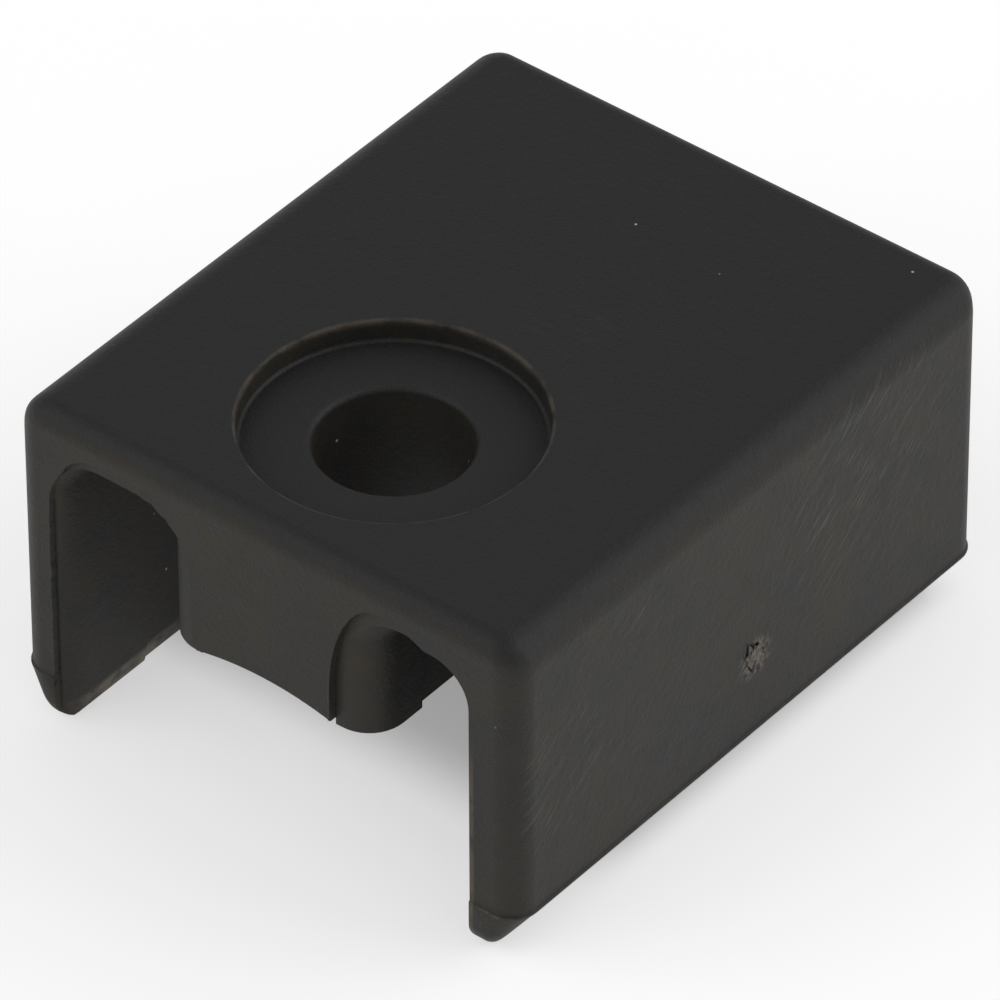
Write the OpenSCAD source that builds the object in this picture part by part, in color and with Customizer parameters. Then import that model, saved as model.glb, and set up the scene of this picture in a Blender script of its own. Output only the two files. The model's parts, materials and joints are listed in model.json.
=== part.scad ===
// Moulded rubber channel cover: a box open underneath, with a bored boss between two front slots.
// All sizes are in millimetres.
// X runs across the cover, Y from the slotted front to the closed rear, and Z up.
// The origin is the middle of the footprint, on the plane of the wall rims.

/* [Cover] */
// Width over the side walls
cover_w = 20.6; // [20:0.1:24]
// Length from the slotted front to the closed rear
cover_l = 24.1; // [20:0.1:32]
// Height from the wall rims to the flat top
cover_h = 12.85; // [12.4:0.05:16]
// Thickness of the side and rear walls
wall_t = 1.95; // [1.8:0.05:2.3]
// Thickness of the top
top_t = 1.7; // [1.3:0.05:2.4]

/* [Edges] */
// Radius of the top edges along the sides
side_edge_r = 1.3; // [0.4:0.05:1.5]
// Radius of the top edges along the front and the rear
end_edge_r = 0.8; // [0.4:0.05:1.2]
// Radius of the four upright outer edges
upright_edge_r = 1; // [0.3:0.05:1.2]
// Width of the slope on the outside of the rims, under the parting line
rim_slope_w = 1.25; // [0.3:0.05:1.3]
// Height of the slope on the outside of the rims
rim_slope_h = 1.75; // [0.5:0.05:2]
// Radius of the lower front edge of the side walls
leg_edge_r = 0.85; // [0.1:0.05:1]
// Width of the bevel along the inner edge of the rims
rim_bevel_w = 0.15; // [0.1:0.05:0.3]
// Height of the bevel along the inner edge of the rims
rim_bevel_h = 0.7; // [0.2:0.05:1.2]

/* [Hollow] */
// Radius between the roof of the hollow and the walls
roof_fillet_r = 1.5; // [0.5:0.1:1.8]
// Radius of the two upright inner corners at the rear
rear_corner_r = 1.5; // [0.5:0.1:3]
// Depth of the relief that widens the hollow behind the slots
relief_depth = 0.1; // [0.05:0.01:0.2]
// Distance from the front to the start of the relief
relief_start = 4.1; // [3:0.05:6]

/* [Boss] */
// Width of the boss at the front
boss_w = 8.8; // [8.4:0.05:9.4]
// Height of the foot of the boss above the rims
boss_foot_h = 5.9; // [2:0.1:8]
// Radius of the two upright front edges of the boss
boss_edge_r = 1.4; // [0.8:0.05:1.6]
// Step inwards along each side of the boss
boss_step = 0.2; // [0.05:0.01:0.4]
// Distance from the front to the step
boss_step_start = 2.6; // [2.5:0.05:4]
// Width of the arched groove under the front of the boss
groove_w = 5.5; // [3:0.1:5.8]
// Height of the crown of the groove above the foot
groove_h = 0.65; // [0.35:0.05:1.2]
// Radius of the crown of the groove
groove_r = 11.5; // [8:0.5:20]

/* [Screw hole] */
// Diameter of the bore
bore_d = 5.2; // [4:0.1:6]
// Distance from the front to the bore's axis
bore_y = 6.65; // [6.4:0.05:8]
// Diameter of the washer recess around the bore
recess_d = 10; // [8:0.1:10.6]
// Depth of the washer recess
recess_depth = 0.85; // [0.3:0.05:1.2]

/* [Front skin] */
// Thickness of the skin that stands proud of the boss and of the wall ends
skin_t = 0.3; // [0.1:0.05:0.4]
// Width of the skin on the end of each side wall
strip_w = 1.5; // [1.1:0.05:1.7]
// Width of the skin on the middle of the boss
panel_w = 5.5; // [4:0.1:5.8]
// Height of the skin above each slot
skin_band_h = 1.2; // [0.9:0.05:1.7]
// Radius of the upper corners of the openings in the skin
skin_corner_r = 2.4; // [0.5:0.1:2.4]

/* [Hidden] */
$fn = 96;
front_y = -cover_l / 2;
rear_y = cover_l / 2;
roof_z = cover_h - top_t;
hollow_w = cover_w - 2 * wall_t;
bore_centre_y = front_y + bore_y;
neck_w = boss_w - 2 * boss_step;
step_y = front_y + boss_step_start;
// The boss ends inside the thickness of the top
boss_h = cover_h - top_t / 2 - boss_foot_h;
// The panel starts inside the boss
panel_depth = 2 * skin_t;
skin_open_w = cover_w / 2 - strip_w - panel_w / 2;
skin_open_x = panel_w / 2 + skin_open_w / 2;
skin_open_h = cover_h - skin_band_h;
// Overrun of a cut past the face that it opens
over = 1;
// Overlap between pieces that are joined
join_lap = 0.1;
// Corners that stay sharp
sharp_r = 0.01;

// Outline w wide and h high, standing on the X axis, with its own radius for each pair of corners
module rounded_outline(w, h, low_r, high_r) {
    translate([-w / 2, low_r])
        square([w, h - low_r - high_r]);
    translate([-w / 2 + low_r, 0])
        square([w - 2 * low_r, h / 2]);
    translate([-w / 2 + high_r, h / 2])
        square([w - 2 * high_r, h / 2]);
    for (side = [-1, 1]) {
        translate([side * (w / 2 - low_r), low_r])
            circle(r = low_r);
        translate([side * (w / 2 - high_r), h - high_r])
            circle(r = high_r);
    }
}

// Extrudes an outline that is drawn in X and Z along Y
module along_y(y_start, y_end) {
    translate([0, y_end, 0])
        rotate([90, 0, 0])
            linear_extrude(y_end - y_start)
                children();
}

// Extrudes an outline that is drawn in Y and Z across the whole width
module across_x(width) {
    rotate([90, 0, 90])
        linear_extrude(width, center = true)
            children();
}

// Section across the width: both rims slope in, and the top edges are rounded
module side_section() {
    wide = cover_w / 2;
    narrow = wide - rim_slope_w;
    intersection() {
        rounded_outline(cover_w, cover_h, leg_edge_r, side_edge_r);
        polygon([
            [-narrow, 0],
            [narrow, 0],
            [wide, rim_slope_h],
            [wide, cover_h],
            [-wide, cover_h],
            [-wide, rim_slope_h]
        ]);
    }
}

// Section along the length: only the rear rim slopes in
module end_section() {
    intersection() {
        rounded_outline(cover_l, cover_h, leg_edge_r, end_edge_r);
        polygon([
            [front_y, 0],
            [rear_y - rim_slope_w, 0],
            [rear_y, rim_slope_h],
            [rear_y, cover_h],
            [front_y, cover_h]
        ]);
    }
}

// Solid block with every outer edge rounded or sloped
module outer_block() {
    intersection() {
        linear_extrude(cover_h)
            translate([0, front_y])
                rounded_outline(cover_w, cover_l, upright_edge_r, upright_edge_r);
        along_y(front_y, rear_y)
            side_section();
        across_x(cover_w)
            end_section();
    }
}

// Space between the walls, open at the front and underneath
module hollow_part(width, y_start, y_end) {
    intersection() {
        along_y(y_start, y_end)
            translate([0, -over])
                rounded_outline(width, roof_z + over, sharp_r, roof_fillet_r);
        translate([0, 0, -over])
            linear_extrude(roof_z + 2 * over)
                translate([0, y_start - rear_corner_r])
                    rounded_outline(width, y_end - y_start + rear_corner_r, sharp_r, rear_corner_r);
    }
}

module hollow() {
    relief_y = front_y + relief_start;
    hollow_part(hollow_w, front_y - over, rear_y - wall_t);
    hollow_part(hollow_w + 2 * relief_depth, relief_y, rear_y - wall_t);
}

// Bevel along the inner edges of the rims: a wedge that widens downwards on three sides
module rim_bevel() {
    low_x = hollow_w / 2 + rim_bevel_w;
    high_x = hollow_w / 2;
    low_y = rear_y - wall_t + rim_bevel_w;
    high_y = rear_y - wall_t;
    intersection() {
        along_y(front_y - over, rear_y)
            polygon([[-low_x, 0], [low_x, 0], [high_x, rim_bevel_h], [-high_x, rim_bevel_h]]);
        across_x(cover_w)
            polygon([[front_y - over, 0], [low_y, 0], [high_y, rim_bevel_h], [front_y - over, rim_bevel_h]]);
    }
}

// Concave fillet section: the corner of a square that a circle leaves
module fillet_section() {
    difference() {
        translate([-join_lap, 0])
            square([roof_fillet_r + join_lap, roof_fillet_r + join_lap]);
        translate([roof_fillet_r, 0])
            circle(r = roof_fillet_r);
    }
}

// Straight fillet under the roof, along one side of the boss
module roof_fillet(side, half_w, y_start, y_end) {
    along_y(y_start, y_end)
        mirror([side < 0 ? 1 : 0, 0])
            translate([half_w, roof_z - roof_fillet_r])
                fillet_section();
}

// Fillet under the roof, turned round an upright edge of radius r
module turned_fillet(x, y, r, start_angle, turn_angle) {
    translate([x, y, roof_z - roof_fillet_r])
        rotate([0, 0, start_angle])
            rotate_extrude(angle = turn_angle)
                translate([r, 0])
                    fillet_section();
}

module boss_front() {
    edge_y = front_y + skin_t + boss_edge_r;
    edge_x = boss_w / 2 - boss_edge_r;
    translate([0, 0, boss_foot_h])
        linear_extrude(boss_h) {
            translate([-boss_w / 2, edge_y])
                square([boss_w, step_y - edge_y]);
            translate([-edge_x, front_y + skin_t])
                square([2 * edge_x, step_y - front_y - skin_t]);
            for (side = [-1, 1])
                translate([side * edge_x, edge_y])
                    circle(r = boss_edge_r);
        }
    translate([-panel_w / 2, front_y, boss_foot_h])
        cube([panel_w, panel_depth, boss_h]);
    for (side = [-1, 1])
        roof_fillet(side, boss_w / 2, edge_y, step_y);
    turned_fillet(edge_x, edge_y, boss_edge_r, -90, 90);
    turned_fillet(-edge_x, edge_y, boss_edge_r, 180, 90);
}

module boss_neck() {
    translate([0, 0, boss_foot_h])
        linear_extrude(boss_h) {
            translate([-neck_w / 2, step_y - skin_t])
                square([neck_w, bore_centre_y - step_y + skin_t]);
            translate([0, bore_centre_y])
                circle(d = neck_w);
        }
    for (side = [-1, 1])
        roof_fillet(side, neck_w / 2, step_y, bore_centre_y);
    turned_fillet(0, bore_centre_y, neck_w / 2, 0, 180);
}

// Arched groove under the front of the boss
module foot_groove() {
    along_y(front_y - over, step_y)
        intersection() {
            translate([-groove_w / 2, boss_foot_h - over])
                square([groove_w, groove_h + over]);
            translate([0, boss_foot_h + groove_h - groove_r])
                circle(r = groove_r);
        }
}

// Shallow pocket that leaves the skin standing proud around one slot
module skin_opening() {
    along_y(front_y - over, front_y + skin_t)
        translate([0, -over])
            rounded_outline(skin_open_w, skin_open_h + over, sharp_r, skin_corner_r);
}

module screw_hole() {
    translate([0, bore_centre_y, 0])
        cylinder(d = bore_d, h = cover_h + over);
    translate([0, bore_centre_y, cover_h - recess_depth])
        cylinder(d = recess_d, h = recess_depth + over);
}

module channel_cover() {
    color([0.07, 0.07, 0.072])
        difference() {
            intersection() {
                union() {
                    difference() {
                        outer_block();
                        hollow();
                        rim_bevel();
                    }
                    boss_front();
                    boss_neck();
                }
                outer_block();
            }
            foot_groove();
            for (side = [-1, 1])
                translate([side * skin_open_x, 0, 0])
                    skin_opening();
            screw_hole();
        }
}

channel_cover();
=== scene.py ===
"""Moulded rubber channel cover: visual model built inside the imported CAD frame."""

import json
import math

import bmesh
import bpy
from mathutils import Matrix, Vector, noise


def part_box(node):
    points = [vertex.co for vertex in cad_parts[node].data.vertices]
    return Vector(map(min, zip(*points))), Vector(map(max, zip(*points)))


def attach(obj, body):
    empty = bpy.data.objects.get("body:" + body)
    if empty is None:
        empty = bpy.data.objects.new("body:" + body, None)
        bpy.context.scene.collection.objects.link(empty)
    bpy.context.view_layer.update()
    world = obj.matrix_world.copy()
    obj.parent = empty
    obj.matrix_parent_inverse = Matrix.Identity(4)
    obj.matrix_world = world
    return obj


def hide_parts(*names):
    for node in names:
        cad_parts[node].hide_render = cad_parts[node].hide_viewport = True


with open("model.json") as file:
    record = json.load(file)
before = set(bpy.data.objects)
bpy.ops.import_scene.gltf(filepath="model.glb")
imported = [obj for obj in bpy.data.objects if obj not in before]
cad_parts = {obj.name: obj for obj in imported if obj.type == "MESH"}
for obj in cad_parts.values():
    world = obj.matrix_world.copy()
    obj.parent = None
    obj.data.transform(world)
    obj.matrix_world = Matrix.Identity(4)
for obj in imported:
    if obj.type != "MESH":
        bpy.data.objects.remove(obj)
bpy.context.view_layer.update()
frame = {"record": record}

NODE = "channel_cover"
MM = 0.001  # metres in a millimetre

# ---------------------------------------------------------------- sizes, in millimetres

low_corner, high_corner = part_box(NODE)
HALF_W = high_corner.x / MM
FRONT_Y = low_corner.y / MM
REAR_Y = high_corner.y / MM
TOP_Z = high_corner.z / MM

mounts = {mount["name"]: mount for mount in frame["record"]["mounts"]}
BORE_Y = mounts["screw_bore"]["pos_m"][1] / MM
BORE_R = mounts["screw_bore"]["dims"]["r_mm"]
RECESS_R = mounts["washer_recess"]["dims"]["r_mm"]
RECESS_Z = mounts["washer_seat"]["pos_m"][2] / MM
FOOT_Z = mounts["boss_foot"]["pos_m"][2] / MM

WALL = 1.95  # side and rear walls
TOP_T = 1.7  # top over the hollow
ROOF_Z = TOP_Z - TOP_T
HOLLOW_HALF = HALF_W - WALL
SIDE_EDGE_R = 1.3  # top edges along the sides
END_EDGE_R = 0.8  # top edges along the front and the rear
UPRIGHT_R = 1.0
RIM_SLOPE = (1.25, 1.75)  # width and height of the slope under the parting line
LEG_EDGE_R = 0.85  # lower front edge of the side walls
RIM_BEVEL = (0.15, 0.75)  # width and height of the soft inner edge of the rims
ROOF_FILLET = 1.5
REAR_CORNER_R = 1.5
RELIEF = 0.1  # the hollow is this much wider behind the slots
RELIEF_Y = FRONT_Y + 4.1

SKIN_T = 0.3  # the front skin stands this far proud
STRIP_W = 1.5  # skin on the end of a side wall
PANEL_HALF = 2.75  # half the skin on the middle of the boss
SKIN_BAND = 1.2  # skin above each slot
STRIP_CORNER = (1.95, 3.2)  # width and height of the curve from a wall strip to the band
PANEL_CORNER = (2.0, 4.2)  # the same, from the panel to the band
MOUTH = (0.42, 1.1)  # how much the left slot's mouth flares, and over what depth
POCKET_FOOT = (1.45, 1.85)  # height where the opening in the skin starts, at the front and at its back

BOSS_HALF = 4.4
NECK_HALF = 4.2
BOSS_R = 1.4
STEP_Y = FRONT_Y + 2.6
GROOVE_H = 0.65
GROOVE_R = 11.5

FLASH = 0.05  # the mould's flash lines stand this far off the walls
ARC_STEPS = 10  # segments in a quarter turn
SMALL = 0.003  # overlap that keeps two surfaces from meeting exactly


# ---------------------------------------------------------------- outlines and lofts

def arc(centre, radius, start, end, steps=ARC_STEPS):
    """Points along a round stretch, from one angle in degrees to another."""
    points = []
    for i in range(steps + 1):
        angle = math.radians(start + (end - start) * i / steps)
        points.append((centre[0] + radius * math.cos(angle), centre[1] + radius * math.sin(angle)))
    return points


def quarter(steps=ARC_STEPS):
    """Angles in radians from 0 to a quarter turn."""
    return [math.pi / 2 * i / steps for i in range(steps + 1)]


def rounded_rectangle(low, high, radius):
    """Counterclockwise outline of a rectangle with four round corners."""
    corners = (
        ((low[0] + radius, low[1] + radius), 180),
        ((high[0] - radius, low[1] + radius), 270),
        ((high[0] - radius, high[1] - radius), 0),
        ((low[0] + radius, high[1] - radius), 90),
    )
    return [point for centre, start in corners for point in arc(centre, radius, start, start + 90)]


def solid(name, bm):
    """Closes a bmesh into an object."""
    bmesh.ops.recalc_face_normals(bm, faces=bm.faces)
    mesh = bpy.data.meshes.new(name)
    bm.to_mesh(mesh)
    bm.free()
    piece = bpy.data.objects.new(name, mesh)
    bpy.context.scene.collection.objects.link(piece)
    return piece


def loft(name, rings):
    """Closed solid through a stack of outlines that have the same number of points."""
    bm = bmesh.new()
    rows = [[bm.verts.new(point) for point in ring] for ring in rings]
    for low, high in zip(rows, rows[1:]):
        for i in range(len(low)):
            j = (i + 1) % len(low)
            bm.faces.new((low[i], low[j], high[j], high[i]))
    bm.faces.new(list(reversed(rows[0])))
    bm.faces.new(rows[-1])
    return solid(name, bm)


def upright(outline, z):
    """An outline in X and Y, lifted to a height."""
    return [(x, y, z) for x, y in outline]


def across(outline, y):
    """An outline in X and Z, placed at a distance from the front."""
    return [(x, y, z) for x, z in outline]


def combine(target, tool, operation):
    """Joins, cuts or trims one solid with another, and drops the tool."""
    modifier = target.modifiers.new("combine", "BOOLEAN")
    modifier.operation = operation
    modifier.solver = "EXACT"
    modifier.object = tool
    bpy.context.view_layer.update()
    graph = bpy.context.evaluated_depsgraph_get()
    result = bpy.data.meshes.new_from_object(target.evaluated_get(graph))
    target.modifiers.clear()
    old = target.data
    target.data = result
    bpy.data.meshes.remove(old)
    bpy.data.objects.remove(tool)


# ---------------------------------------------------------------- the moulding's solids

def fall(radius, z):
    """How far a top edge of this radius has drawn in at height z."""
    rise = z - (TOP_Z - radius)
    return radius - math.sqrt(max(radius * radius - rise * rise, 0.0)) if rise > 0 else 0.0


def outer_body():
    """Block with rounded top edges and uprights, sloping rims and the mould's parting line."""
    width, height = RIM_SLOPE
    rows = []
    for i in range(16):
        z = height * (i / 16) ** 1.3
        left = 1 - z / height
        drawn_in = width * (1.03 * left + 0.1 * left ** 8)
        lift = max(LEG_EDGE_R - z, 0.0)
        rows.append((drawn_in, LEG_EDGE_R - math.sqrt(LEG_EDGE_R ** 2 - lift ** 2), drawn_in, z))
    rows += [(0.0, 0.0, 0.0, height - 0.03), (0.0, 0.0, 0.0, height + 0.03), (FLASH, FLASH, FLASH, height + 0.08)]
    rows.append((FLASH, FLASH, FLASH, TOP_Z / 2))
    rows.append((FLASH, FLASH, FLASH, TOP_Z - SIDE_EDGE_R))
    for a in quarter(14)[1:]:
        z = TOP_Z - SIDE_EDGE_R * (1 - math.sin(a))
        end = FLASH + fall(END_EDGE_R, z) * (1 - FLASH / END_EDGE_R)
        rows.append((FLASH + fall(SIDE_EDGE_R, z) * (1 - FLASH / SIDE_EDGE_R), end, end, z))
    rings = []
    for side, front, rear, z in rows:
        radius = max(UPRIGHT_R - 0.6 * max(side, rear), 0.25)
        outline = rounded_rectangle((-HALF_W + side, FRONT_Y + front), (HALF_W - side, REAR_Y - rear), radius)
        rings.append(upright(outline, z))
    return loft("moulded_cover", rings)


def hollow_outline(inset):
    """Plan of the hollow, from the open front to the round rear corners."""
    half = HOLLOW_HALF - inset
    corner = (half + RELIEF - REAR_CORNER_R, REAR_Y - WALL - inset - REAR_CORNER_R)
    right = [(half, FRONT_Y - 2), (half, RELIEF_Y), (half + RELIEF, RELIEF_Y + RELIEF / 2)]
    right += arc(corner, REAR_CORNER_R, 0, 90)
    left = [(-x, y) for x, y in reversed(right)]
    return right + left


def hollow_tool():
    """Cutter for the hollow: rims that thin out downwards, a fillet under the roof."""
    width, height = RIM_BEVEL
    rings = [upright(hollow_outline(-width), -1)]
    for i in range(ARC_STEPS + 1):
        out = width * (1 - i / ARC_STEPS) ** 1.5
        rings.append(upright(hollow_outline(-out), height * i / ARC_STEPS - SMALL))
    for a in quarter():
        inset = ROOF_FILLET * (1 - math.cos(a))
        rings.append(upright(hollow_outline(inset), ROOF_Z - ROOF_FILLET * (1 - math.sin(a))))
    return loft("hollow_tool", rings)


def mouth_tool():
    """Cutter that flares the front of the left slot."""
    flare, depth = MOUTH
    rings = []
    for a in quarter(8):
        grow = flare * (1 - math.cos(a))
        y = FRONT_Y + SKIN_T + depth * (1 - math.sin(a))
        wide = HOLLOW_HALF + grow
        radius = ROOF_FILLET + grow
        outline = [(3.0, -1.0), (wide, -1.0)] + arc((wide - radius, ROOF_Z - radius), radius, 0, 90) + [(3.0, ROOF_Z)]
        rings.append(across([(-x, z) for x, z in outline], y))
    rings.append([(x, FRONT_Y + SKIN_T - SMALL, z) for x, y, z in rings[-1]])
    rings.append([(x, FRONT_Y - 2, z) for x, y, z in rings[-1]])
    return loft("mouth_tool", rings)


def boss_outline(out):
    """Plan of the boss, grown outwards by out."""
    edge = (BOSS_HALF - BOSS_R, FRONT_Y + SKIN_T + BOSS_R - SMALL)
    right = arc(edge, BOSS_R + out, -90, 0)
    right += [(BOSS_HALF + out, STEP_Y), (NECK_HALF + out, STEP_Y + 0.1)]
    right += arc((0, BORE_Y), NECK_HALF + out, 0, 90, 2 * ARC_STEPS)
    left = [(-x, y) for x, y in reversed(right[:-1])]
    keep_behind = FRONT_Y + SKIN_T - SMALL
    return [(x, max(y, keep_behind)) for x, y in right + left]


def boss():
    """Boss with a softened foot, flaring into the roof."""
    foot_r = 0.1
    rings = []
    for a in quarter(5):
        outline = boss_outline(-foot_r * (1 - math.sin(a)))
        rings.append(upright(outline, FOOT_Z + foot_r * (1 - math.cos(a))))
    for a in quarter():
        outline = boss_outline(ROOF_FILLET * (1 - math.cos(a)))
        rings.append(upright(outline, ROOF_Z - ROOF_FILLET * (1 - math.sin(a))))
    rings.append(upright(boss_outline(ROOF_FILLET), ROOF_Z + TOP_T / 4))
    return loft("boss", rings)


def panel():
    """Skin in front of the boss. The cutters round the slots give it its shape."""
    low = (-BOSS_HALF, FRONT_Y + FLASH)
    high = (BOSS_HALF, FRONT_Y + SKIN_T)
    outline = [low, (high[0], low[1]), high, (low[0], high[1])]
    return loft("panel", [upright(outline, FOOT_Z + 0.12), upright(outline, TOP_Z - SIDE_EDGE_R)])


def ragged(z, amount):
    """Unevenness of a trimmed flash line at height z."""
    return amount * noise.noise(Vector((0.0, 0.0, 2.3 * z))) + 0.4 * amount * noise.noise(Vector((4.0, 0.0, 9.0 * z)))


def bend(corner, start, end, size):
    """Quarter of an ellipse, from one angle in degrees to another."""
    return [(corner[0] + size[0] * x, corner[1] + size[1] * z) for x, z in arc((0, 0), 1.0, start, end)]


def strip_edge():
    """Uneven edge of the skin along the left wall's end, upwards."""
    edge = HALF_W - STRIP_W
    foot, start = POCKET_FOOT
    top = TOP_Z - SKIN_BAND - STRIP_CORNER[1]
    heights = [start + (top - start) * i / 60 for i in range(1, 60)]
    return [(edge, foot)] + [(edge + ragged(z, 0.05), z) for z in heights]


def panel_edge():
    """Edge of the skin along the panel and over to the band, downwards."""
    corner = (PANEL_HALF + PANEL_CORNER[0], TOP_Z - SKIN_BAND - PANEL_CORNER[1])
    return bend(corner, 90, 180, PANEL_CORNER)


def left_skin_tool():
    """Cutter that sets the boss and the wall's end back from the skin, round the left slot."""
    corner = (HALF_W - STRIP_W - STRIP_CORNER[0], TOP_Z - SKIN_BAND - STRIP_CORNER[1])
    outline = strip_edge() + bend(corner, 0, 90, STRIP_CORNER) + panel_edge() + [(PANEL_HALF, POCKET_FOOT[0])]
    outline = [(-x, z) for x, z in outline]
    ledge = [(x, max(z, POCKET_FOOT[1])) for x, z in outline]
    return loft("skin_tool", [across(outline, FRONT_Y - 2), across(outline, FRONT_Y), across(ledge, FRONT_Y + SKIN_T + SMALL)])


def right_skin_tool():
    """Cutter that sets the boss back from the skin. It runs out above the right slot."""
    outline = [(PANEL_HALF, POCKET_FOOT[0]), (HOLLOW_HALF - 1.8, POCKET_FOOT[0])]
    run_out = (HOLLOW_HALF - 1.8, TOP_Z - SKIN_BAND)
    outline += [(run_out[0] - 0.35 * i, run_out[1] - 0.5 * (1 - i / 5) ** 2) for i in range(5)] + panel_edge()
    return loft("skin_tool", [across(outline, FRONT_Y - 2), across(outline, FRONT_Y + SKIN_T + SMALL)])


def bead():
    """Thin ridge of flash along the right edge of the panel. It runs out at the top."""
    path = [(x, z) for x, z in reversed(panel_edge()) if z < ROOF_Z - 0.4]
    path = [(PANEL_HALF, FOOT_Z + 0.36 + i) for i in range(5) if FOOT_Z + 0.4 + i < path[0][1]] + path
    rings = []
    for i, (x, z) in enumerate(path):
        width = 0.075 * min(1.0, (len(path) - i) / 4) * (1 + ragged(3 * z, 0.3))
        front = FRONT_Y + 0.004 + 0.03 * max(0.0, 1 - (len(path) - 1 - i) / 3)
        section = [(x - 0.004, FRONT_Y + 0.15), (x - 0.004, front), (x - width, front), (x - 1.7 * width, FRONT_Y + 0.15)]
        rings.append(upright(section, z))
    return loft("bead", rings)


def groove_tool():
    """Cutter for the shallow arch under the front of the boss."""
    half = PANEL_HALF + 0.01
    half_angle = math.degrees(math.asin(half / GROOVE_R))
    outline = arc((0, FOOT_Z + GROOVE_H - GROOVE_R), GROOVE_R, 90 - half_angle, 90 + half_angle, 16)
    outline += [(-half, FOOT_Z - 1), (half, FOOT_Z - 1)]
    return loft("groove_tool", [across(outline, FRONT_Y - 2), across(outline, STEP_Y)])


def screw_hole_tool():
    """Cutter for the bore and the washer recess, turned from one profile with soft lips."""
    lip = 0.25
    rim = 0.14
    profile = [(BORE_R + lip, FOOT_Z - 1), (BORE_R + lip, FOOT_Z - SMALL)]
    profile += [(BORE_R + lip * (1 - math.sin(a)), FOOT_Z + lip * (1 - math.cos(a))) for a in quarter(4)[1:]]
    profile += [(BORE_R + lip * (1 - math.cos(a)), RECESS_Z - lip * (1 - math.sin(a))) for a in quarter(5)]
    profile += [(RECESS_R - rim * (1 - math.sin(a)), RECESS_Z + rim * (1 - math.cos(a))) for a in quarter(4)]
    profile += [(RECESS_R + rim * (1 - math.cos(a)), TOP_Z - rim * (1 - math.sin(a))) for a in quarter(4)]
    profile[-1] = (RECESS_R + rim, TOP_Z + SMALL)
    profile.append((RECESS_R + rim, TOP_Z + 1))
    return loft("screw_hole_tool", [upright(arc((0, BORE_Y), r, 0, 356.25, 95), z) for r, z in profile])


def lump(name, size, roughness, seed, limit):
    """Torn lump: a ball pushed in and out by noise, no further out than limit."""
    bm = bmesh.new()
    bmesh.ops.create_icosphere(bm, subdivisions=4, radius=1.0)
    turn = Matrix.Rotation(math.radians(SCAR_TILT), 3, "X")
    for vert in bm.verts:
        way = vert.co.normalized()
        swell = 1 + roughness * noise.noise(2.2 * way + Vector((seed, 0, 0))) + 0.5 * roughness * noise.noise(6 * way + Vector((0, seed, 0)))
        place = SCAR + turn @ Vector((size[0] * way.x * swell, size[1] * way.y * swell, size[2] * way.z * swell))
        vert.co = Vector((min(place.x, limit), place.y, place.z))
    return solid(name, bm)


def gate_mark(piece):
    """Shallow torn crater with a rough nub in it, where the moulding was broken off its feed."""
    skin = HALF_W - FLASH
    combine(piece, lump("crater", (0.17, 0.42, 0.70), 0.35, 3.0, skin + 1), "DIFFERENCE")
    combine(piece, lump("nub", (0.13, 0.34, 0.56), 0.7, 11.0, HALF_W - 0.004), "UNION")


SCAR = Vector((HALF_W - FLASH - 0.02, 0.1, 4.8))
SCAR_TILT = 25  # degrees from upright


def moulding():
    """The whole moulding, before its edges are broken."""
    cover = outer_body()
    combine(cover, hollow_tool(), "DIFFERENCE")
    combine(cover, mouth_tool(), "DIFFERENCE")
    combine(cover, boss(), "UNION")
    combine(cover, panel(), "UNION")
    combine(cover, left_skin_tool(), "DIFFERENCE")
    combine(cover, right_skin_tool(), "DIFFERENCE")
    combine(cover, groove_tool(), "DIFFERENCE")
    combine(cover, screw_hole_tool(), "DIFFERENCE")
    combine(cover, bead(), "UNION")
    return cover


def break_edges(piece, width):
    """Cleans the solid and rounds the edges that are still sharp."""
    bm = bmesh.new()
    bm.from_mesh(piece.data)
    bmesh.ops.remove_doubles(bm, verts=bm.verts, dist=0.004)
    bmesh.ops.dissolve_limit(bm, angle_limit=math.radians(0.3), verts=bm.verts, edges=bm.edges)
    bm.to_mesh(piece.data)
    bm.free()
    bevel = piece.modifiers.new("soft_edges", "BEVEL")
    bevel.width = width
    bevel.segments = 2
    bevel.limit_method = "ANGLE"
    bevel.angle_limit = math.radians(40)
    bevel.use_clamp_overlap = True
    bpy.context.view_layer.update()
    graph = bpy.context.evaluated_depsgraph_get()
    result = bpy.data.meshes.new_from_object(piece.evaluated_get(graph))
    piece.modifiers.clear()
    piece.data = result


def finish_mesh(piece):
    """Turns the mesh to metres and shades it smooth where it is smooth."""
    piece.data.transform(Matrix.Scale(MM, 4))
    for polygon in piece.data.polygons:
        polygon.use_smooth = True
    piece.data.set_sharp_from_angle(angle=math.radians(48))
    weighted = piece.modifiers.new("flat_faces", "WEIGHTED_NORMAL")
    weighted.weight = 100
    weighted.keep_sharp = True


cover = moulding()
break_edges(cover, 0.05)
gate_mark(cover)
finish_mesh(cover)

# ---------------------------------------------------------------- shader arithmetic

class Field:
    """A socket of a surface's node tree that can be used in plain arithmetic."""

    def __init__(self, surface, socket):
        self.surface = surface
        self.socket = socket

    def maths(self, operation, *values):
        return self.surface.node("ShaderNodeMath", {"operation": operation}, dict(enumerate(values)))

    def __add__(self, other):
        return self.maths("ADD", self, other)

    def __sub__(self, other):
        return self.maths("SUBTRACT", self, other)

    def __rsub__(self, other):
        return self.maths("SUBTRACT", other, self)

    def __mul__(self, other):
        return self.maths("MULTIPLY", self, other)

    __radd__ = __add__
    __rmul__ = __mul__


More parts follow.
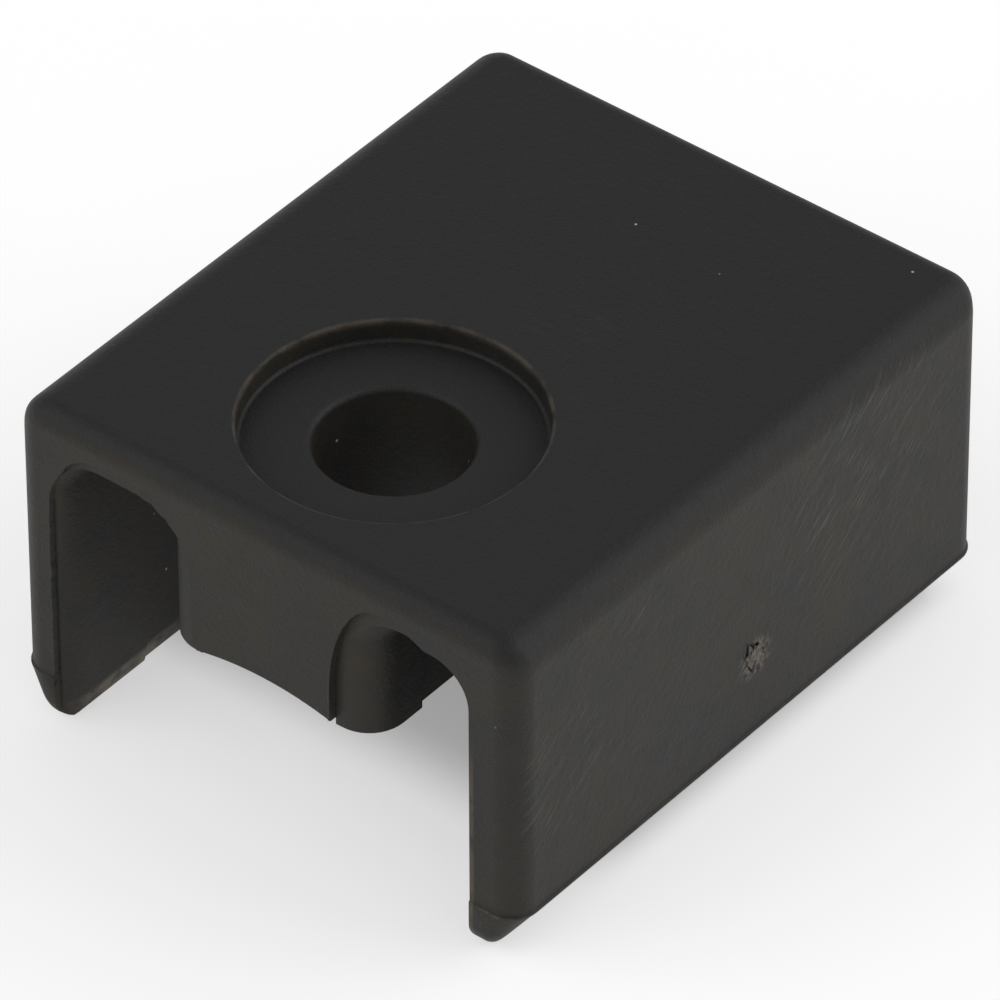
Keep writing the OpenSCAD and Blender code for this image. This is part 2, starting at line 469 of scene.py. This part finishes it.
class Surface:
    """A material's node tree and the few kinds of node that it is made of."""

    def __init__(self, name):
        self.material = bpy.data.materials.new(name)
        self.material.use_nodes = True
        self.tree = self.material.node_tree
        self.shader = self.tree.nodes["Principled BSDF"]

    def node(self, kind, settings, inputs, output=0):
        """Adds a node: its settings first, then the values or links of its sockets."""
        made = self.tree.nodes.new(kind)
        for key, value in settings.items():
            setattr(made, key, value)
        for key, value in inputs.items():
            self.feed(made.inputs[key], value)
        return Field(self, made.outputs[output])

    def feed(self, socket, value):
        """Sets a socket to a value or links it to a field."""
        if isinstance(value, Field):
            self.tree.links.new(value.socket, socket)
        else:
            socket.default_value = value

    def noise(self, place, scale, detail=2.0):
        """Noise around 0.5."""
        return self.node("ShaderNodeTexNoise", {}, {"Vector": place, "Scale": scale, "Detail": detail})

    def step(self, field, low, high):
        """Smooth climb from 0 at low to 1 at high."""
        settings = {"interpolation_type": "SMOOTHSTEP"}
        return self.node("ShaderNodeMapRange", settings, {"Value": field, "From Min": low, "From Max": high})

    def blend(self, amount, first, second):
        """Colour between two colours."""
        return self.node("ShaderNodeMix", {"data_type": "RGBA"}, {0: amount, 6: first, 7: second}, output=2)

    def stretched(self, place, turn, scale):
        """Coordinates turned about X and then scaled along each axis."""
        turned = self.node("ShaderNodeMapping", {"vector_type": "POINT"}, {"Vector": place, "Rotation": (math.radians(turn), 0, 0)})
        return self.node("ShaderNodeVectorMath", {"operation": "MULTIPLY"}, {0: turned, 1: scale})

    def near(self, place, centre, reach):
        """1 at a point, falling to 0 at the given reach."""
        distance = self.node("ShaderNodeVectorMath", {"operation": "DISTANCE"}, {0: place, 1: centre}, output=1)
        return 1 - self.step(distance, 0.35 * reach, reach)


# ---------------------------------------------------------------- the rubber

def black_rubber():
    """Matte black rubber: fine grain, upright faces painted lighter and warmer to stand in for the light on the
    walls, patchy like a dusty film, scuffs, wear, dust and a painted light band low on the left wall's inner face.
    """
    rubber = Surface("black_rubber")
    world = rubber.node("ShaderNodeTexCoord", {}, {}, output=3)
    place = rubber.node("ShaderNodeVectorMath", {"operation": "MULTIPLY"}, {0: world, 1: (1 / MM, 1 / MM, 1 / MM)})
    facing = rubber.node("ShaderNodeTexCoord", {}, {}, output=1)
    out_x = rubber.node("ShaderNodeSeparateXYZ", {}, {0: facing}, output=0)
    out_z = rubber.node("ShaderNodeSeparateXYZ", {}, {0: facing}, output=2)
    height = rubber.node("ShaderNodeSeparateXYZ", {}, {0: place}, output=2)
    across_x = rubber.node("ShaderNodeSeparateXYZ", {}, {0: place}, output=0)
    along = rubber.node("ShaderNodeSeparateXYZ", {}, {0: place}, output=1)

    upright_face = 1 - rubber.step(out_z.maths("ABSOLUTE", out_z), 0.3, 0.8)
    right_face = rubber.step(out_x, 0.75, 0.95) * rubber.step(across_x, HALF_W - 1.2, HALF_W - 0.6)
    patches = rubber.noise(place, 0.55, 3.0)
    cloud = rubber.noise(place, 1.7, 4.0)
    grain = rubber.noise(place, 14.0, 2.0)

    # Painted light, partly: upright faces get a lighter, warmer base so they read as the brighter lit walls; the
    # noise patches make it look like a dusty film.
    wall_light_and_bloom = upright_face * (0.55 + 0.9 * rubber.step(cloud, 0.3, 0.7)) * rubber.step(patches, 0.2, 0.8)
    hatch = rubber.noise(rubber.stretched(place, -37, (1.0, 0.45, 5.5)), 1.0, 3.0)
    fine_hatch = rubber.noise(rubber.stretched(place, -43, (1.0, 0.9, 13.0)), 1.0, 2.0)
    rubbed = rubber.near(place, (HALF_W, 5.6, 9.0), 5.5) + 0.8 * rubber.near(place, (HALF_W, -6.2, 10.8), 1.6)
    rubbed = rubbed + 0.7 * rubber.near(place, (HALF_W, -9.8, 6.5), 3.6) + 0.18
    scuffs = right_face * rubbed * (rubber.step(hatch, 0.55, 0.75) * 0.5 + rubber.step(fine_hatch, 0.56, 0.74) * 0.7)
    top_scuffs = rubber.near(place, (1.2, 1.4, TOP_Z), 2.6) * rubber.step(fine_hatch, 0.56, 0.72) * 0.35

    torn = rubber.near(place, tuple(SCAR), 1.0) * rubber.step(across_x, HALF_W - 0.6, HALF_W - 0.2)
    torn = torn * rubber.step(rubber.noise(place, 5.0, 4.0), 0.36, 0.58)
    smear = rubber.near(place, (HALF_W, SCAR.y - 0.3, SCAR.z - 1.7), 2.2) * right_face

    seam_line = RIM_SLOPE[1] + 0.02
    seam = rubber.step(height, seam_line - 0.14, seam_line - 0.03) * (1 - rubber.step(height, seam_line + 0.03, seam_line + 0.12))
    rim = 1 - rubber.step(height, 0.25, 0.95)
    outside = rubber.step(across_x.maths("ABSOLUTE", across_x), HOLLOW_HALF + 0.3, HOLLOW_HALF + 0.6)
    worn = upright_face * outside * rubber.step(rubber.noise(place, 2.6, 4.0), 0.4, 0.7) * (0.75 * seam + 0.3 * rim)
    inner_edge = 1 - rubber.step(across_x.maths("ABSOLUTE", across_x - (HOLLOW_HALF + 0.06)), 0.05, 0.17)
    inner_edge = inner_edge * rubber.step(FRONT_Y + 0.35 - along, 0.0, 0.15) * (1 - rubber.step(height, 6.0, 9.0))
    worn = worn + 0.75 * inner_edge * rubber.step(cloud, 0.2, 0.55)
    # Painted light: a bright tan band low on the left wall's inner face, standing in for a bevel that catches light
    # from the floor.
    lit_foot_band = rubber.near(place, (-HOLLOW_HALF, FRONT_Y + 3.2, 0.45), 3.4) * (1 - rubber.step(height, 0.5, 0.8))
    lit_foot_band = lit_foot_band * rubber.step(out_x, 0.5, 0.85) * rubber.step(cloud, 0.25, 0.6)

    flat = rubber.node("ShaderNodeVectorMath", {"operation": "MULTIPLY"}, {0: place, 1: (1, 1, 0)})
    ring = rubber.node("ShaderNodeVectorMath", {"operation": "DISTANCE"}, {0: flat, 1: (0, BORE_Y, 0)}, output=1)
    lip = 1 - rubber.step(ring.maths("ABSOLUTE", ring - (RECESS_R + 0.04)), 0.03, 0.11)
    lip = lip * rubber.step(height, TOP_Z - 0.3, TOP_Z - 0.1) * rubber.step(rubber.noise(place, 1.3, 4.0), 0.3, 0.6)
    worn = worn + 0.55 * lip

    cells = {"feature": "F1"}
    cell_inputs = {"Vector": place, "Scale": 0.83}
    speck = rubber.node("ShaderNodeTexVoronoi", cells, cell_inputs)
    chance = rubber.node("ShaderNodeTexVoronoi", cells, cell_inputs, output=1)
    lucky = rubber.step(rubber.node("ShaderNodeSeparateColor", {}, {0: chance}), 0.80, 0.82)
    dust = (1 - rubber.step(speck, 0.028, 0.05)) * lucky

    # Painted light, partly: the lighter warm colour on upright faces, patchy like a dusty film.
    colour = rubber.blend(wall_light_and_bloom * 0.8, (0.0130, 0.0133, 0.0135, 1), (0.0245, 0.0188, 0.0100, 1))
    colour = rubber.blend(smear * 0.35, colour, (0.010, 0.0098, 0.0092, 1))
    colour = rubber.blend(scuffs * 0.85 + top_scuffs * 0.5, colour, (0.062, 0.058, 0.050, 1))
    colour = rubber.blend(worn, colour, (0.085, 0.068, 0.050, 1))
    # Painted light: the bright tan band on the left wall's inner foot.
    colour = rubber.blend(lit_foot_band * 0.8, colour, (0.17, 0.145, 0.11, 1))
    colour = rubber.blend(torn * 0.9, colour, (0.12, 0.102, 0.080, 1))
    colour = rubber.blend((grain - 0.5) * 1.7, colour, (0.034, 0.033, 0.031, 1))
    colour = rubber.blend(dust * 0.8, colour, (0.45, 0.44, 0.40, 1))
    rubber.feed(rubber.shader.inputs["Base Color"], colour)

    rubber.feed(rubber.shader.inputs["Roughness"], 0.54 + 0.12 * (cloud - 0.5) - 0.10 * scuffs + 0.25 * dust)
    rubber.feed(rubber.shader.inputs["Specular IOR Level"], 0.27)

    relief = 0.018 * grain + 0.02 * rubber.noise(place, 4.0, 3.0) + 0.010 * scuffs + 0.05 * torn
    bump = {"Height": relief, "Strength": 1.0, "Distance": MM}
    rubber.feed(rubber.shader.inputs["Normal"], rubber.node("ShaderNodeBump", {}, bump))
    return rubber.material


cover.data.materials.clear()
cover.data.materials.append(black_rubber())
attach(cover, "root")
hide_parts(NODE)

# ---------------------------------------------------------------- floor, lights and camera

def pale_floor():
    """Matte white that glows a little, and less deep under the cover, where little light reaches."""
    paint = Surface("pale_floor")
    place = paint.node("ShaderNodeTexCoord", {}, {}, output=3)
    across_x = paint.node("ShaderNodeSeparateXYZ", {}, {0: place}, output=0)
    along = paint.node("ShaderNodeSeparateXYZ", {}, {0: place}, output=1)
    half, front, rear = (v * MM for v in (HOLLOW_HALF, FRONT_Y, REAR_Y))
    under = 1 - paint.step(across_x.maths("ABSOLUTE", across_x), half, half + WALL * MM)
    under = under * paint.step(along, front + 4 * MM, front + 7.5 * MM)
    under = under * (1 - paint.step(along, rear - WALL * MM, rear))
    paint.feed(paint.shader.inputs["Base Color"], (0.55, 0.55, 0.55, 1))
    paint.feed(paint.shader.inputs["Roughness"], 0.9)
    paint.feed(paint.shader.inputs["Specular IOR Level"], 0.1)
    paint.feed(paint.shader.inputs["Emission Color"], paint.blend(under, (1, 1, 1, 1), (0.5, 0.5, 0.5, 1)))
    paint.feed(paint.shader.inputs["Emission Strength"], FLOOR_GLOW)
    return paint.material


def floor():
    """Plain pale floor, level with the rims."""
    mesh = bpy.data.meshes.new("floor")
    mesh.from_pydata([(-3, -3, 0), (3, -3, 0), (3, 3, 0), (-3, 3, 0)], [], [(0, 1, 2, 3)])
    mesh.materials.append(pale_floor())
    piece = bpy.data.objects.new("floor", mesh)
    bpy.context.scene.collection.objects.link(piece)


def direction(azimuth, elevation):
    """Unit vector towards a place seen from the object. Azimuth 0 is in front, 90 to the right."""
    a, e = math.radians(azimuth), math.radians(elevation)
    return Vector((math.sin(a) * math.cos(e), -math.cos(a) * math.cos(e), math.sin(e)))


def softbox(name, azimuth, elevation, size, radiance):
    """Square soft light that faces the object."""
    lamp = bpy.data.lights.new(name, "AREA")
    lamp.shape = "SQUARE"
    lamp.size = size
    lamp.energy = radiance * math.pi * size * size
    holder = bpy.data.objects.new(name, lamp)
    towards = direction(azimuth, elevation)
    holder.location = towards * LIGHT_DISTANCE
    holder.rotation_mode = "QUATERNION"
    holder.rotation_quaternion = towards.to_track_quat("Z", "Y")
    bpy.context.scene.collection.objects.link(holder)


LIGHT_DISTANCE = 0.6
FLOOR_GLOW = 0.55
floor()
world = bpy.data.worlds.new("studio")
world.use_nodes = True
world.node_tree.nodes["Background"].inputs["Color"].default_value = (1, 1, 1, 1)
world.node_tree.nodes["Background"].inputs["Strength"].default_value = 0.5
bpy.context.scene.world = world
softbox("back_right", 133, 32, 0.55, 1.6)
softbox("front_left", -37, 37, 0.55, 1.15)
bpy.context.scene.view_settings.view_transform = "Standard"

CAMERA_AZIMUTH = 38.98
CAMERA_ELEVATION = 39.859
CAMERA_DISTANCE = 0.380576
CAMERA_ROLL = -0.196
AIM = Vector((0.0004133, -0.0006009, 0.0066374))


def camera():
    """Camera at the height and side of the studio view."""
    lens = bpy.data.cameras.new("camera")
    lens.lens = 427.07
    lens.sensor_width = 36
    lens.clip_start = 0.01
    holder = bpy.data.objects.new("camera", lens)
    back = direction(CAMERA_AZIMUTH, CAMERA_ELEVATION)
    holder.location = AIM + back * CAMERA_DISTANCE
    holder.rotation_mode = "QUATERNION"
    roll = Matrix.Rotation(math.radians(CAMERA_ROLL), 3, "Z").to_quaternion()
    holder.rotation_quaternion = back.to_track_quat("Z", "Y") @ roll
    bpy.context.scene.collection.objects.link(holder)
    bpy.context.scene.camera = holder


camera()
